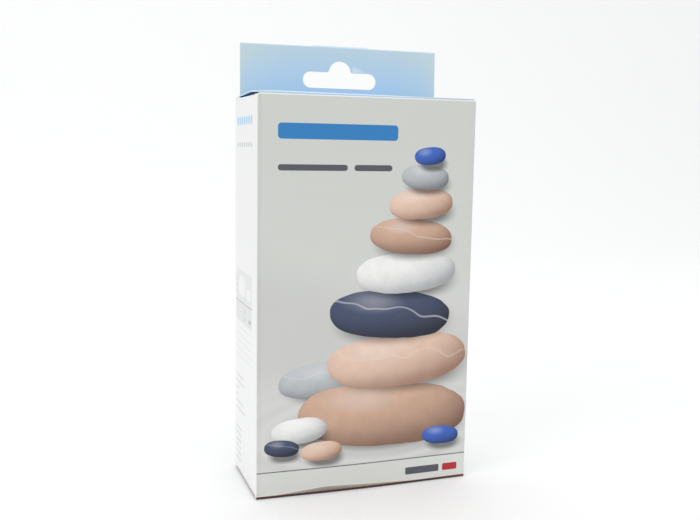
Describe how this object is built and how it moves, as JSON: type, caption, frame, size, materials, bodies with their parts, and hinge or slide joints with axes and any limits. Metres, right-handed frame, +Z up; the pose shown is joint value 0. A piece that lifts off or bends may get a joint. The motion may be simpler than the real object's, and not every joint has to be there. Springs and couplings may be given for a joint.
{
  "type": "hang-tab folding carton",
  "caption": "Upright folding carton of printed board with a hang tab and euro slot, tuck lid at the back, tuck bottom at the front, dust flaps inside.",
  "frame": {"origin": "centre of the carton's foot, on the floor that it stands on", "axes": "+Z up, +X to the right along the front, -Y out of the front; the hang tab is at +Y"},
  "size_m": [0.102, 0.0454, 0.2037],
  "materials": {
    "grey_print": "satin",
    "blue_print": "satin",
    "red_print": "satin"
  },
  "bodies": {
    "carton": {"sleeve": "grey_print", "hang_tab": "blue_print"},
    "lid": {"lid": "blue_print"},
    "top_tuck": {"top_tuck_flap": "blue_print"},
    "top_dust_left": {"top_dust_flap_left": "blue_print"},
    "top_dust_right": {"top_dust_flap_right": "blue_print"},
    "bottom": {"bottom_panel": "red_print"},
    "bottom_tuck": {"bottom_tuck_flap": "red_print"},
    "bottom_dust_left": {"bottom_dust_flap_left": "red_print"},
    "bottom_dust_right": {"bottom_dust_flap_right": "red_print"}
  },
  "joints": [
    {"name": "lid_fold", "type": "hinge", "parent": "carton", "child": "lid", "pos_m": [0, 0.02145, 0.1787], "axis": [-1, 0, 0], "range_deg": [0, 85]},
    {"name": "top_tuck_fold", "type": "hinge", "parent": "lid", "child": "top_tuck", "pos_m": [0, -0.02145, 0.1779], "axis": [1, 0, 0], "range_deg": [0, 68]},
    {"name": "top_left_dust_fold", "type": "hinge", "parent": "carton", "child": "top_dust_left", "pos_m": [-0.0502, 0, 0.1774], "axis": [0, 1, 0], "range_deg": [0, 80]},
    {"name": "top_right_dust_fold", "type": "hinge", "parent": "carton", "child": "top_dust_right", "pos_m": [0.0502, 0, 0.1774], "axis": [0, -1, 0], "range_deg": [0, 80]},
    {"name": "bottom_fold", "type": "hinge", "parent": "carton", "child": "bottom", "pos_m": [0, -0.02225, 0.0005], "axis": [-1, 0, 0], "range_deg": [0, 85]},
    {"name": "bottom_tuck_fold", "type": "hinge", "parent": "bottom", "child": "bottom_tuck", "pos_m": [0, 0.02145, 0.0008], "axis": [1, 0, 0], "range_deg": [0, 68]},
    {"name": "bottom_left_dust_fold", "type": "hinge", "parent": "carton", "child": "bottom_dust_left", "pos_m": [-0.0502, 0, 0.0013], "axis": [0, -1, 0], "range_deg": [0, 80]},
    {"name": "bottom_right_dust_fold", "type": "hinge", "parent": "carton", "child": "bottom_dust_right", "pos_m": [0.0502, 0, 0.0013], "axis": [0, 1, 0], "range_deg": [0, 80]}
  ],
  "couplings": [
    {"joint": "top_tuck_fold", "follows": "lid_fold", "ratio": 0.8},
    {"joint": "bottom_tuck_fold", "follows": "bottom_fold", "ratio": 0.8}
  ]
}
